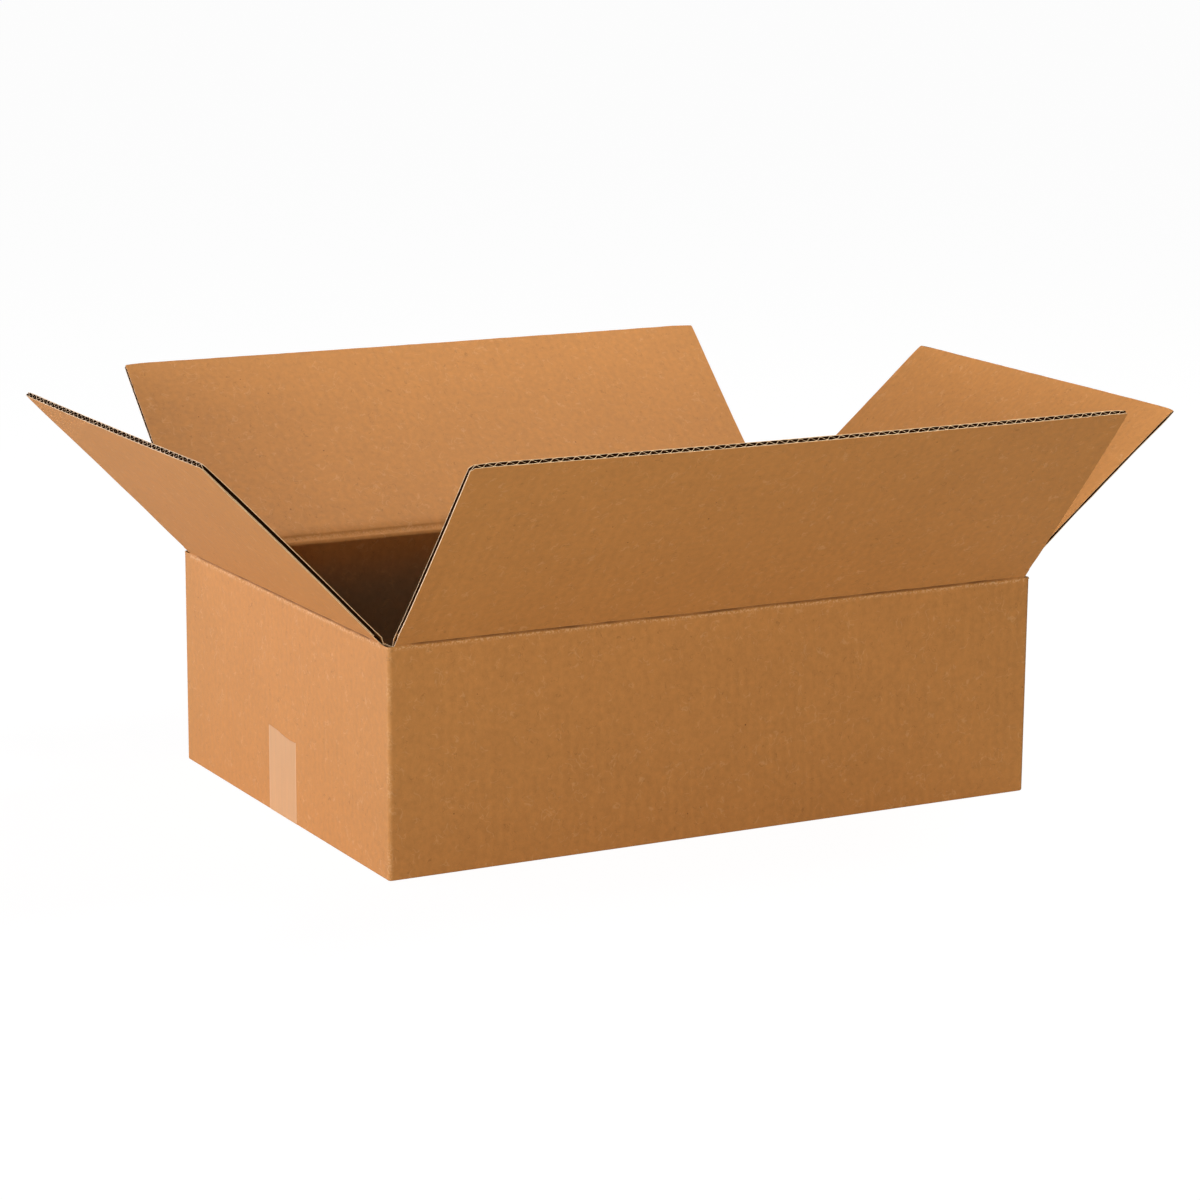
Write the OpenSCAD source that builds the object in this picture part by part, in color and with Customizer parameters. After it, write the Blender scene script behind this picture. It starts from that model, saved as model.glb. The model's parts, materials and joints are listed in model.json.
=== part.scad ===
// Open shipping carton: one folded sheet of corrugated board with its bottom taped shut.
// The origin is the centre of the underside. X runs along the length, Y across, Z up.
// Millimetres and degrees.

/* [Carton] */
// Length inside the walls
inside_l = 508; // [300:1:700]
// Width inside the walls
inside_w = 355.6; // [200:0.1:420]
// Depth from the bottom end flaps to the closed top end flaps
inside_h = 150; // [100:1:400]

/* [Board] */
// Thickness of the board
board_t = 4; // [3:0.1:5]
// Thickness of each flat facing sheet
liner_t = 0.3; // [0.2:0.05:0.5]
// Thickness of the fluted sheet between the facings
medium_t = 0.25; // [0.2:0.05:0.4]
// Distance from one flute to the next
flute_pitch = 7.9; // [7:0.1:10]
// Width of each flute's flat crest, where it is glued to a facing
crest_w = 1.2; // [0.8:0.1:1.6]

/* [Folds and creases] */
// Outer radius of the upright folds, which reach to the long flaps' side edges
upright_r = 2.5; // [2.5:0.1:4]
// Outer radius of the folds along the bottom
bottom_r = 3; // [1:0.5:4]
// Thickness of the crushed board at the middle of a flap's crease
crease_t = 0.3; // [0.2:0.05:0.4]
// Gap on each side of a flap's hinge line
crease_gap = 0.45; // [0.45:0.05:0.8]
// How far a flap's middle layer sits off its hinge line
crease_shift = 0.85; // [0:0.05:1.5]

/* [Flaps] */
// Lean of the front flap out from upright
front_lean = 40; // [0:0.5:130]
// Lean of the back flap out from upright
back_lean = 46.5; // [0:0.5:130]
// Lean of the left end flap out from upright
left_lean = 45; // [0:0.5:130]
// Lean of the right end flap out from upright
right_lean = 51; // [0:0.5:130]
// Furthest that a flap opens from upright
flap_open = 140; // [130:1:142]
// Distance of an end flap's side edge from the carton's corner
end_inset = 12; // [10:0.5:20]
// Size of the clipped free corners
corner_cut = 4; // [1:0.5:10]
// Gap between the two long flaps where they meet
seam_gap = 1; // [0.5:0.5:4]
// Gap between flaps that lie one on the other
stack_gap = 0.3; // [0.2:0.1:1]

/* [Glue lap] */
// Width of the lap inside the back right corner
lap_w = 35; // [25:1:50]
// How far the lap's ends slope back
lap_slope = 9; // [0:1:20]
// Width of the back wall's cut edge that rests on the lap's fold
lap_seat = 0.5; // [0.3:0.1:1]

/* [Tape] */
// Width of the sealing tape
tape_w = 48; // [36:1:75]
// Thickness of the sealing tape
tape_t = 0.12; // [0.05:0.01:0.2]
// Height of the tape on the end walls
tape_leg = 57; // [30:1:80]
// Slant of the tape's cut ends
tape_slant = 2.5; // [0:0.5:6]

/* [Hidden] */

kraft = [0.70, 0.48, 0.28];
kraft_inside = [0.74, 0.52, 0.32];
tape_colour = [0.86, 0.68, 0.50];

// Outer faces, inner faces and middle layer of the walls, as distances from the centre
outer_x = inside_l/2 + board_t;
outer_y = inside_w/2 + board_t;
inner_x = inside_l/2;
inner_y = inside_w/2;
mid_x = inside_l/2 + board_t/2;
mid_y = inside_w/2 + board_t/2;

// Half widths of the long flaps and the end flaps, as cut in the sheet
long_half = outer_x - upright_r;
end_half = outer_y - end_inset;
// The top flaps run clear of the slots' sides by this much
side_clear = 0.3;

// Heights: long bottom flaps, end bottom flaps on top of them, and the slots' bottom
long_floor_z = tape_t;
end_floor_z = long_floor_z + board_t + stack_gap;
floor_top_z = end_floor_z + board_t;
slot_z = long_floor_z + board_t/2;

// Hinge heights. The closed end flaps lie under the closed long flaps.
end_axis_z = floor_top_z + inside_h + board_t/2 + crease_shift;
long_axis_z = end_axis_z - 2*crease_shift + board_t + stack_gap;

// All flaps have one depth, at which the long ones meet
flap_len = mid_y - seam_gap/2;

// The crushed board tapers towards each hinge line, just clear of the opened flap
taper_margin = 1.5;
taper_a = (180 - flap_open)/2 - taper_margin;
wall_taper = crease_gap + (board_t - crease_t)/2/tan(taper_a);

// Radius of the lap's fold, beyond its seat on the back wall
lap_fold_r = upright_r - lap_seat;

// Small radius inside the bottom folds
inner_r = 0.8;
arc_steps = 6;

// Points of a quarter arc about [cx, cy], from angle a0 to a0 + 90
function arc(cx, cy, r, a0) = [for (i = [0:arc_steps])
    let (a = a0 + 90*i/arc_steps) [cx + r*cos(a), cy + r*sin(a)]];

// Stands an outline of (across, up) along X, centred
module along_x(width) {
    rotate([90, 0, 90]) linear_extrude(width, center = true) children();
}

// Stands an outline of (along, up) along Y, centred
module along_y(width) {
    rotate([90, 0, 0]) linear_extrude(width, center = true) children();
}

// Hollow between a facing and the fluted sheet: wide at the facing, narrow at the crest
module flute_outline() {
    facing = board_t/2 - liner_t;
    slope = atan((2*facing - medium_t)/(flute_pitch/2 - crest_w));
    side = medium_t/2/sin(slope) - medium_t/2/tan(slope);
    wide = flute_pitch/2 - crest_w/2 - side;
    narrow = crest_w/2 - side;
    polygon([[-wide, facing], [wide, facing], [narrow, medium_t - facing], [-narrow, medium_t - facing]]);
}

// Hollows across a board: those on the inner side, and those on the outer side half a pitch along
module flutes(half, from_z, to_z) {
    n = floor(half/flute_pitch) + 1;
    translate([0, 0, from_z]) linear_extrude(to_z - from_z) {
        for (i = [-n:n]) translate([i*flute_pitch, 0]) flute_outline();
        for (i = [-n:n - 1]) translate([(i + 0.5)*flute_pitch, 0]) rotate(180) flute_outline();
    }
}

// Section of one wall with its bottom flap: `out` and `in` are the wall's faces
module wall_section(out, in, floor_z, flap_end, axis_z) {
    mid = (out + in)/2;
    polygon(concat(
        [[mid - crease_t/2, axis_z - crease_gap], [in, axis_z - wall_taper],
         [in, floor_z + board_t + inner_r],
         [in - inner_r, floor_z + board_t], [flap_end, floor_z + board_t], [flap_end, floor_z]],
        arc(out - bottom_r, floor_z + bottom_r, bottom_r, -90),
        [[out, axis_z - wall_taper], [mid + crease_t/2, axis_z - crease_gap]]));
}

// Each wall is hollow between its creases, and its bottom flap out to the open cut edge
module long_wall() {
    difference() {
        along_x(2*long_half)
            wall_section(outer_y, inner_y, long_floor_z, seam_gap/2, long_axis_z);
        translate([0, mid_y, long_floor_z + board_t/2]) rotate([90, 0, 0])
            flutes(long_half, bottom_r + board_t, mid_y);
        translate([0, mid_y, 0]) flutes(long_half, floor_top_z + bottom_r, long_axis_z - wall_taper);
    }
}

module end_wall() {
    difference() {
        along_y(2*end_half)
            wall_section(outer_x, inner_x, end_floor_z, mid_x - flap_len, end_axis_z);
        rotate(-90) {
            translate([0, mid_x, end_floor_z + board_t/2]) rotate([90, 0, 0])
                flutes(end_half, bottom_r + board_t, flap_len + 1);
            translate([0, mid_x, 0]) flutes(end_half, floor_top_z + bottom_r, end_axis_z - wall_taper);
        }
    }
}

// Stands an outline upright from a height to the level of the end flaps' creases
module up_to_crease(from_z) {
    translate([0, 0, from_z]) linear_extrude(end_axis_z - from_z) children();
}

// Upright fold between a long wall and an end wall, with the stretches of wall beside it
module folded_corner() {
    up_to_crease(end_floor_z)
        polygon([[inner_x, end_half], [outer_x, end_half], [outer_x, inner_y], [inner_x, inner_y]]);
    up_to_crease(slot_z)
        polygon(concat([[long_half, inner_y], [outer_x, inner_y]],
            arc(long_half, outer_y - upright_r, upright_r, 0)));
}

// Corner where the sheet's two ends meet: the back wall's cut edge covers the lap's fold
module glued_corner() {
    up_to_crease(end_floor_z)
        polygon(concat([[inner_x, end_half], [outer_x, end_half]],
            arc(long_half + lap_seat, inner_y - lap_fold_r, lap_fold_r, 0), [[inner_x, inner_y]]));
    up_to_crease(slot_z)
        polygon([[long_half, inner_y], [outer_x, inner_y], [outer_x, outer_y], [long_half, outer_y]]);
}

module glue_lap() {
    translate([0, inner_y - board_t/2, 0]) along_y(board_t)
        polygon([[inner_x, end_floor_z], [inner_x, end_axis_z],
                 [inner_x - lap_w, end_axis_z - lap_slope], [inner_x - lap_w, end_floor_z + lap_slope]]);
}

module carton_body() {
    color(kraft_inside) union() {
        long_wall();
        rotate(180) long_wall();
        end_wall();
        rotate(180) end_wall();
        rotate(180) folded_corner();
        mirror([1, 0, 0]) folded_corner();
        mirror([0, 1, 0]) folded_corner();
        glued_corner();
        glue_lap();
    }
}

// One upright flap hinged on the X axis, its outside towards -Y. `shift` moves the board
// outwards off the hinge line.
module flap(half, shift) {
    outer = shift + board_t/2;
    inner = board_t/2 - shift;
    outer_z = crease_gap + (outer - crease_t/2)/tan(taper_a);
    inner_z = crease_gap + (inner - crease_t/2)/tan(taper_a);
    width = half - side_clear;
    difference() {
        along_x(2*width)
            polygon([[-crease_t/2, crease_gap], [-outer, outer_z], [-outer, flap_len],
                     [inner, flap_len], [inner, inner_z], [crease_t/2, crease_gap]]);
        translate([0, -shift, 0]) flutes(width, max(outer_z, inner_z), flap_len + 1);
        for (side = [0, 1]) mirror([side, 0, 0]) along_y(4*board_t)
            polygon([[width + 1, flap_len + 1], [width - corner_cut - 1, flap_len + 1],
                     [width + 1, flap_len - corner_cut - 1]]);
    }
}

module front_flap() {
    color(kraft) translate([0, -mid_y, long_axis_z])
        rotate([front_lean, 0, 0]) flap(long_half, crease_shift);
}

module back_flap() {
    color(kraft) translate([0, mid_y, long_axis_z])
        rotate(180) rotate([back_lean, 0, 0]) flap(long_half, crease_shift);
}

module left_flap() {
    color(kraft) translate([-mid_x, 0, end_axis_z])
        rotate(-90) rotate([left_lean, 0, 0]) flap(end_half, -crease_shift);
}

module right_flap() {
    color(kraft) translate([mid_x, 0, end_axis_z])
        rotate(90) rotate([right_lean, 0, 0]) flap(end_half, -crease_shift);
}

// One strip along the bottom seam and up both end walls
module sealing_tape() {
    fold_z = end_floor_z + bottom_r/2;
    half = [[0, 0], [long_half, 0], [outer_x + tape_t, fold_z], [outer_x + tape_t, tape_leg],
            [outer_x, tape_leg], [outer_x, fold_z], [long_half, tape_t], [0, tape_t]];
    color(tape_colour) difference() {
        union() for (side = [0, 180]) rotate(side) along_y(tape_w) polygon(half);
        for (side = [0, 180]) rotate(side) translate([outer_x, 0, tape_leg]) along_x(4)
            polygon([[-tape_w/2, 0], [tape_w/2, -tape_slant], [tape_w/2, 1], [-tape_w/2, 1]]);
    }
}

carton_body();
front_flap();
back_flap();
left_flap();
right_flap();
sealing_tape();
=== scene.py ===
import json
import math
import bpy
import bmesh
from mathutils import Matrix, Vector, noise


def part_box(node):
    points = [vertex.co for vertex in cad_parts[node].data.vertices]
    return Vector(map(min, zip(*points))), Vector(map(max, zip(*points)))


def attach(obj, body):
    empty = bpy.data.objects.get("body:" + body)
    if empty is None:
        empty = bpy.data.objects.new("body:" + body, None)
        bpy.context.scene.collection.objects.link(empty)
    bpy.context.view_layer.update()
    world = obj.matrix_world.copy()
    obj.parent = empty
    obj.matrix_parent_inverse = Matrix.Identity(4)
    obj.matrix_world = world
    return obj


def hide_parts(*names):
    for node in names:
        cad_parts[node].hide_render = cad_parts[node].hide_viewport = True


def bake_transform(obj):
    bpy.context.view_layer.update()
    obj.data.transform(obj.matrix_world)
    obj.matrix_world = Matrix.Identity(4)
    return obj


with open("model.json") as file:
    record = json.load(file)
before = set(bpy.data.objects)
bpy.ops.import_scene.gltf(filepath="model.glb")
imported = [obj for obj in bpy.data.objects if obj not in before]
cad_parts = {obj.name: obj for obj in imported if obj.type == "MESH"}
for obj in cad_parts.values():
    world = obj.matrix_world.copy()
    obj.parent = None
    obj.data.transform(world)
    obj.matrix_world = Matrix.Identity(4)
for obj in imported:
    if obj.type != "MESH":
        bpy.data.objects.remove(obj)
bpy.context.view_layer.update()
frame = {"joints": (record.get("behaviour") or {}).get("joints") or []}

print("frame loaded")

mm = 0.001
up = Vector((0, 0, 1))
white = (1, 1, 1)
joints = {joint["name"]: joint for joint in frame["joints"]}
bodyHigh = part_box("carton_body")[1]

# single wall corrugated board, shared by all paper pieces
board = {
    "thickness": 4.0 * mm,
    "liner": 0.42 * mm,
    "medium": 0.44 * mm,
    "flutePitch": 7.9 * mm,
    "pointsPerFlute": 10,
    "facingColumn": 6.4 * mm,
    "facingRows": 34,
    "fluteRows": 12,
    "rowCrowding": 1.5,       # rows close up towards the free edge, where the board is worn
    "ragged": 0.18 * mm,
}

# material slots of the paper pieces
slots = {"facing": 0, "cutEdge": 1, "flutes": 2, "inside": 3}


def smoothStep(low, high, value):
    t = min(max((value - low) / (high - low), 0), 1)
    return t * t * (3 - 2 * t)


def wander(x, y, size, seed):
    # soft random value between about -1 and 1 that changes over the given size
    return noise.noise(Vector((x / size, y / size, seed * 7.31)))


def fadeOut(distance, width):
    return math.exp(-distance / width)


def hump(distance, width):
    return math.exp(-((distance / width) ** 2))


def newGroup(name, inputs, outputs):
    group = bpy.data.node_groups.new(name, "ShaderNodeTree")
    for label, kind, value in inputs:
        socket = group.interface.new_socket(label, in_out="INPUT", socket_type=kind)
        if value is not None:
            socket.default_value = value
    for label, kind in outputs:
        group.interface.new_socket(label, in_out="OUTPUT", socket_type=kind)
    return group, group.nodes.new("NodeGroupInput"), group.nodes.new("NodeGroupOutput")


def addNode(tree, kind, values=None, **settings):
    node = tree.nodes.new(kind)
    for key, value in settings.items():
        setattr(node, key, value)
    for key, value in (values or {}).items():
        if isinstance(value, bpy.types.NodeSocket):
            tree.links.new(value, node.inputs[key])
        else:
            node.inputs[key].default_value = value
    return node


def calc(tree, operation, first, second=0.0, clamp=False):
    return addNode(tree, "ShaderNodeMath", {0: first, 1: second},
                   operation=operation, use_clamp=clamp).outputs[0]


def vectorCalc(tree, operation, first, second):
    return addNode(tree, "ShaderNodeVectorMath", {0: first, 1: second},
                   operation=operation).outputs[0]


def weighted(tree, start, terms):
    # the start plus each value times its weight
    for value, weight in terms:
        start = calc(tree, "ADD", start, calc(tree, "MULTIPLY", value, weight))
    return start


def remap(tree, value, fromLow, fromHigh, toLow=0.0, toHigh=1.0):
    return addNode(tree, "ShaderNodeMapRange",
                   {0: value, 1: fromLow, 2: fromHigh, 3: toLow, 4: toHigh},
                   interpolation_type="SMOOTHSTEP").outputs[0]


def grey(tree, value):
    return addNode(tree, "ShaderNodeCombineColor", {0: value, 1: value, 2: value}).outputs[0]


def mixColour(tree, factor, first, second, blend="MIX"):
    return addNode(tree, "ShaderNodeMix", {0: factor, 6: first, 7: second},
                   data_type="RGBA", blend_type=blend).outputs[2]


def noiseValue(tree, position, scale, detail=2.0, roughness=0.5, distortion=0.0):
    return addNode(tree, "ShaderNodeTexNoise",
                   {"Vector": position, "Scale": scale, "Detail": detail,
                    "Roughness": roughness, "Distortion": distortion}).outputs[0]


def objectPlace(tree):
    return addNode(tree, "ShaderNodeTexCoord").outputs["Object"]


def attribute(tree, name):
    return addNode(tree, "ShaderNodeAttribute", attribute_name=name).outputs["Fac"]


def addBump(tree, shader, height, distance, strength):
    bump = addNode(tree, "ShaderNodeBump",
                   {"Height": height, "Distance": distance, "Strength": strength})
    tree.links.new(bump.outputs[0], shader.inputs["Normal"])


paper = {
    "facing": (0.52, 0.225, 0.059, 1),
    # painted shade tint: duller, greyer paper deep inside the box, standing in for the colour of its
    # shaded interior
    "inside": (0.36, 0.25, 0.145, 1),
    # painted shade: the dark colour that the crease groove is mixed towards
    "fold": (0.11, 0.042, 0.013, 1),
    "rubbed": (0.78, 0.47, 0.22, 1),
    "paleFibre": (0.84, 0.52, 0.24, 1),
    "darkFibre": (0.12, 0.045, 0.016, 1),
    "edgeLow": (0.74, 0.47, 0.24, 1),
    "edgeHigh": (0.92, 0.66, 0.37, 1),
    # painted shade: near-black colours for the hollows inside the flutes, standing in for their shadow
    "fluteShadeLow": (0.022, 0.007, 0.002, 1),
    "fluteShadeHigh": (0.055, 0.020, 0.006, 1),
    "cloudScale": 22.0,
    "blotchScale": 240.0,
    "grainScale": 1300.0,
    "baseTone": 0.715,          # each pattern below adds its share to this
    "cloudTone": 0.1,
    "blotchTone": 0.31,
    "grainTone": 0.16,
    "ribTone": 0.012,
    "paleFibres": {"Scale": 130.0, "Width": 0.028, "Share": 0.56},
    "paleDots": {"scale": 130.0, "radius": 0.075, "share": 0.25},
    "paleAmount": 0.19,
    "darkFibres": {"Scale": 190.0, "Width": 0.02, "Share": 0.62},
    "darkDots": {"scale": 110.0, "radius": 0.085, "share": 0.32},
    "darkFibreAmount": 0.3,
    "darkDotAmount": 0.75,
    "darkOffset": (11.3, 4.1, 7.7),
    "rubAmount": 0.55,
    "foldShadeAmount": 0.8,
    "roughness": 0.55,
    "blotchRoughness": 0.2,
    "specular": 0.18,
    "grainHeight": 0.05,
    "blotchHeight": 0.12,
    "ribHeight": 0.05,
    "fibreHeight": 0.05,
    "bumpDistance": 1.0 * mm,
    "bumpStrength": 0.8,
}

fibre = {
    "curl": 0.7,
    "patchScale": 0.9,
    "patchOffset": (3.1, 1.7, 5.3),
    "patchEdge": 16.0,
}


def speckMask(tree, position, scale, radius, share, softness=0.5):
    # round specks in some of the cells of a grid of random points
    cells = addNode(tree, "ShaderNodeTexVoronoi", {"Vector": position, "Scale": scale})
    chosen = addNode(tree, "ShaderNodeSeparateColor", {0: cells.outputs["Color"]}).outputs[0]
    size = calc(tree, "MULTIPLY", remap(tree, chosen, 1 - share, 1.0), radius)
    inside = calc(tree, "SUBTRACT", size, cells.outputs["Distance"])
    return remap(tree, inside, 0.0, radius * softness)


def buildFibreGroup():
    # thin curved fibres: the lines where a noise crosses its middle, kept only in patches
    group, enter, leave = newGroup(
        "pressedFibres",
        [("Position", "NodeSocketVector", None), ("Scale", "NodeSocketFloat", 150.0),
         ("Width", "NodeSocketFloat", 0.02), ("Share", "NodeSocketFloat", 0.56)],
        [("Mask", "NodeSocketFloat")])
    place = enter.outputs["Position"]
    scale = enter.outputs["Scale"]
    curl = noiseValue(group, place, scale, 1.0, distortion=fibre["curl"])
    away = calc(group, "ABSOLUTE", calc(group, "SUBTRACT", curl, 0.5))
    offLine = calc(group, "DIVIDE", away, enter.outputs["Width"], clamp=True)
    line = calc(group, "SUBTRACT", 1.0, offLine)
    moved = vectorCalc(group, "ADD", place, fibre["patchOffset"])
    patch = noiseValue(group, moved, calc(group, "MULTIPLY", scale, fibre["patchScale"]), 0.0)
    over = calc(group, "SUBTRACT", patch, enter.outputs["Share"])
    keep = calc(group, "MULTIPLY", over, fibre["patchEdge"], clamp=True)
    group.links.new(calc(group, "MULTIPLY", line, keep), leave.inputs["Mask"])
    return group


def buildKraftGroup(fibres):
    group, enter, leave = newGroup(
        "kraftPaper",
        [("Position", "NodeSocketVector", None), ("Across Flutes", "NodeSocketFloat", 0.0),
         ("Paper", "NodeSocketColor", paper["facing"]), ("Rub", "NodeSocketFloat", 0.0)],
        [("Color", "NodeSocketColor"), ("Roughness", "NodeSocketFloat"), ("Height", "NodeSocketFloat")])
    place = enter.outputs["Position"]
    cloud = noiseValue(group, place, paper["cloudScale"])
    blotch = noiseValue(group, place, paper["blotchScale"])
    grain = noiseValue(group, place, paper["grainScale"], roughness=0.6)
    # the flutes show faintly through the facing, more in some places than in others
    ribPhase = calc(group, "MULTIPLY", enter.outputs["Across Flutes"], 2 * math.pi / board["flutePitch"])
    ribFade = remap(group, noiseValue(group, place, 30.0, 1.0), 0.35, 0.65, 0.2, 1.0)
    rib = calc(group, "MULTIPLY", calc(group, "COSINE", ribPhase), ribFade)
    tone = weighted(group, paper["baseTone"], [
        (cloud, paper["cloudTone"]), (blotch, paper["blotchTone"]),
        (grain, paper["grainTone"]), (rib, paper["ribTone"])])
    colour = mixColour(group, 1.0, enter.outputs["Paper"], grey(group, tone), "MULTIPLY")

    pale = addNode(group, "ShaderNodeGroup", node_tree=fibres)
    dark = addNode(group, "ShaderNodeGroup", node_tree=fibres)
    shifted = vectorCalc(group, "ADD", place, paper["darkOffset"])
    for node, position, look in ((pale, place, "paleFibres"), (dark, shifted, "darkFibres")):
        group.links.new(position, node.inputs["Position"])
        for label, value in paper[look].items():
            node.inputs[label].default_value = value
    paleDots = speckMask(group, place, **paper["paleDots"])
    paleMask = calc(group, "MAXIMUM", pale.outputs[0], paleDots)
    paleShare = calc(group, "MULTIPLY", paleMask, paper["paleAmount"])
    colour = mixColour(group, paleShare, colour, paper["paleFibre"])
    darkDots = speckMask(group, shifted, **paper["darkDots"])
    darkMask = calc(group, "ADD", calc(group, "MULTIPLY", dark.outputs[0], paper["darkFibreAmount"]),
                    calc(group, "MULTIPLY", darkDots, paper["darkDotAmount"]), clamp=True)
    colour = mixColour(group, darkMask, colour, paper["darkFibre"])

    # rubbed paper along folds is paler and flecked
    flecks = remap(group, noiseValue(group, place, 700.0), 0.44, 0.6)
    rubbed = calc(group, "MULTIPLY", enter.outputs["Rub"], flecks)
    rubbedShare = calc(group, "MULTIPLY", rubbed, paper["rubAmount"])
    colour = mixColour(group, rubbedShare, colour, paper["rubbed"])
    group.links.new(colour, leave.inputs["Color"])

    rough = weighted(group, paper["roughness"], [(blotch, paper["blotchRoughness"])])
    group.links.new(rough, leave.inputs["Roughness"])
    height = weighted(group, 0.0, [
        (grain, paper["grainHeight"]), (blotch, paper["blotchHeight"]),
        (rib, paper["ribHeight"]), (paleMask, paper["fibreHeight"])])
    group.links.new(height, leave.inputs["Height"])
    return group


kraftGroup = buildKraftGroup(buildFibreGroup())

# where the paper of the body changes
bodyPaper = {
    "endFlapEdge": 76.7 * mm,      # the floor nearer the middle is made by the long bottom flaps
    "insideShadeFrom": 110 * mm,        # height where the painted shade tint of the inside begins to turn into the outer facing
    "insideShadeTo": 156 * mm,
    "foldFrom": 4.5 * mm,          # from the outer faces of both walls
    "foldTo": 1.0 * mm,
}


def newMaterial(name):
    material = bpy.data.materials.new(name)
    material.use_nodes = True
    tree = material.node_tree
    tree.nodes.clear()
    shader = tree.nodes.new("ShaderNodeBsdfPrincipled")
    out = tree.nodes.new("ShaderNodeOutputMaterial")
    tree.links.new(shader.outputs[0], out.inputs[0])
    return material, tree, shader


def acrossBodyFlutes(tree, parts):
    # along X in the long walls and the middle of the floor, along Y in the rest
    normal = addNode(tree, "ShaderNodeNewGeometry").outputs["Normal"]
    facing = addNode(tree, "ShaderNodeSeparateXYZ", {0: normal})
    onEnd = remap(tree, calc(tree, "ABSOLUTE", facing.outputs[0]), 0.4, 0.6)
    flat = remap(tree, calc(tree, "ABSOLUTE", facing.outputs[2]), 0.6, 0.8)
    fromMiddle = calc(tree, "ABSOLUTE", parts.outputs[0])
    outer = calc(tree, "GREATER_THAN", fromMiddle, bodyPaper["endFlapEdge"])
    useY = calc(tree, "ADD", onEnd, calc(tree, "MULTIPLY", flat, outer), clamp=True)
    useX = calc(tree, "SUBTRACT", 1.0, useY)
    return calc(tree, "ADD", calc(tree, "MULTIPLY", parts.outputs[0], useX),
                calc(tree, "MULTIPLY", parts.outputs[1], useY))


def wornUprights(tree, place, parts):
    # the upright folds are rubbed here and there
    near = []
    for axis, wall in ((0, bodyHigh.x), (1, bodyHigh.y)):
        near.append(remap(tree, calc(tree, "ABSOLUTE", parts.outputs[axis]),
                          wall - bodyPaper["foldFrom"], wall - bodyPaper["foldTo"]))
    worn = remap(tree, noiseValue(tree, place, 60.0, 1.0), 0.4, 0.6, 0.1, 0.55)
    return calc(tree, "MULTIPLY", calc(tree, "MULTIPLY", *near), worn)


def kraftMaterial(name, kind, across=None):
    # kind: flap, crease, body or inside; across: the direction that crosses a flap's flutes
    material, tree, shader = newMaterial(name)
    place = objectPlace(tree)
    parts = addNode(tree, "ShaderNodeSeparateXYZ", {0: place})
    kraft = addNode(tree, "ShaderNodeGroup", {"Position": place, "Paper": paper["facing"]},
                    node_tree=kraftGroup)
    coordinate = parts.outputs[across] if across else acrossBodyFlutes(tree, parts)
    tree.links.new(coordinate, kraft.inputs["Across Flutes"])
    colour = kraft.outputs["Color"]
    if kind == "inside":
        # painted shade tint: greyer paper lower down inside, turning into the outer facing towards the
        # top
        blend = remap(tree, parts.outputs[2], bodyPaper["insideShadeFrom"], bodyPaper["insideShadeTo"])
        tree.links.new(mixColour(tree, blend, paper["inside"], paper["facing"]), kraft.inputs["Paper"])
    elif kind == "body":
        tree.links.new(wornUprights(tree, place, parts), kraft.inputs["Rub"])
    elif kind == "crease":
        tree.links.new(attribute(tree, "rub"), kraft.inputs["Rub"])
        # painted shade: the fold line is darkened where its groove lies in shadow
        shade = calc(tree, "MULTIPLY", attribute(tree, "shade"), paper["foldShadeAmount"])
        colour = mixColour(tree, shade, colour, paper["fold"])
    tree.links.new(colour, shader.inputs["Base Color"])
    tree.links.new(kraft.outputs["Roughness"], shader.inputs["Roughness"])
    shader.inputs["Specular IOR Level"].default_value = paper["specular"]
    addBump(tree, shader, kraft.outputs["Height"], paper["bumpDistance"], paper["bumpStrength"])
    return material


def cutEdgeMaterial():
    material, tree, shader = newMaterial("cutEdge")
    fuzz = noiseValue(tree, objectPlace(tree), 900.0, 3.0, 0.65)
    colour = mixColour(tree, remap(tree, fuzz, 0.35, 0.7), paper["edgeLow"], paper["edgeHigh"])
    tree.links.new(colour, shader.inputs["Base Color"])
    shader.inputs["Roughness"].default_value = 0.9
    addBump(tree, shader, fuzz, 0.3 * mm, 0.7)
    return material


# painted shade: near-black paper for the flute hollows between the facings, which lie in shadow
def fluteShadeMaterial():
    material, tree, shader = newMaterial("paintedFluteShade")
    grain = noiseValue(tree, objectPlace(tree), 700.0, 3.0, 0.6)
    tree.links.new(mixColour(tree, grain, paper["fluteShadeLow"], paper["fluteShadeHigh"]),
                   shader.inputs["Base Color"])
    shader.inputs["Roughness"].default_value = 1.0
    shader.inputs["Specular IOR Level"].default_value = 0.0
    return material


kraftLong = kraftMaterial("kraftLongFlap", "flap", "X")
kraftEnd = kraftMaterial("kraftEndFlap", "flap", "Y")
kraftLongCrease = kraftMaterial("kraftLongCrease", "crease", "X")
kraftEndCrease = kraftMaterial("kraftEndCrease", "crease", "Y")
kraftBody = kraftMaterial("kraftBody", "body")
kraftInsideShade = kraftMaterial("kraftInsideShade", "inside")
cutEdge = cutEdgeMaterial()
paintedFluteShade = fluteShadeMaterial()
print("materials made")


def finishMesh(name, bm, materials, sharpAngle=35):
    mesh = bpy.data.meshes.new(name)
    bm.to_mesh(mesh)
    bm.free()
    for material in materials:
        mesh.materials.append(material)
    mesh.shade_smooth()
    mesh.set_sharp_from_angle(angle=math.radians(sharpAngle))
    piece = bpy.data.objects.new(name, mesh)
    bpy.context.scene.collection.objects.link(piece)
    return piece


def addToMesh(whole, bm):
    part = bpy.data.meshes.new("part")
    bm.to_mesh(part)
    bm.free()
    whole.from_mesh(part)
    bpy.data.meshes.remove(part)


def thicken(bm, thickness):
    bmesh.ops.solidify(bm, geom=bm.faces[:], thickness=thickness)
    bmesh.ops.recalc_face_normals(bm, faces=bm.faces[:])


def turnDown(bm):
    # turns an open shell so that its lowest face looks down
    bmesh.ops.recalc_face_normals(bm, faces=bm.faces[:])
    lowest = min(bm.faces, key=lambda face: face.calc_center_median().z)
    if lowest.normal.z > 0:
        bmesh.ops.reverse_faces(bm, faces=bm.faces[:])


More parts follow.
